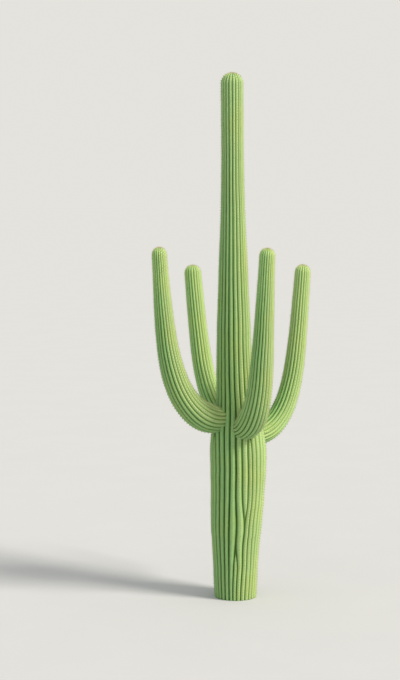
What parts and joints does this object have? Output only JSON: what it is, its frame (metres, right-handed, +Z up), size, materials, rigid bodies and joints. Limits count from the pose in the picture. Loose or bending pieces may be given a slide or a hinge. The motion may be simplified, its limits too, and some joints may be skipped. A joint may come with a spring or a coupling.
{
  "type": "saguaro cactus",
  "caption": "Tall columnar desert cactus with a pleated trunk that bulges where its upturned arms leave it, rooted in level ground.",
  "frame": {"origin": "middle of the flat cut where the trunk meets level ground", "axes": "+Z up along the trunk; +X to the plant's right and +Y to its back, seen from the front"},
  "size_m": [2.1024, 1.7746, 7],
  "materials": {
    "trunk_skin": "waxy matte green skin",
    "arm_skin": "waxy matte green skin",
    "spines": "straw to grey horn-like spines"
  },
  "bodies": {
    "root": {"trunk": "trunk_skin", "arm_left_front_elbow": "arm_skin", "arm_left_front_upright": "arm_skin", "arm_right_front_elbow": "arm_skin", "arm_right_front_upright": "arm_skin", "arm_right_back_elbow": "arm_skin", "arm_right_back_upright": "arm_skin", "arm_left_back_elbow": "arm_skin", "arm_left_back_upright": "arm_skin"}
  },
  "joints": []
}
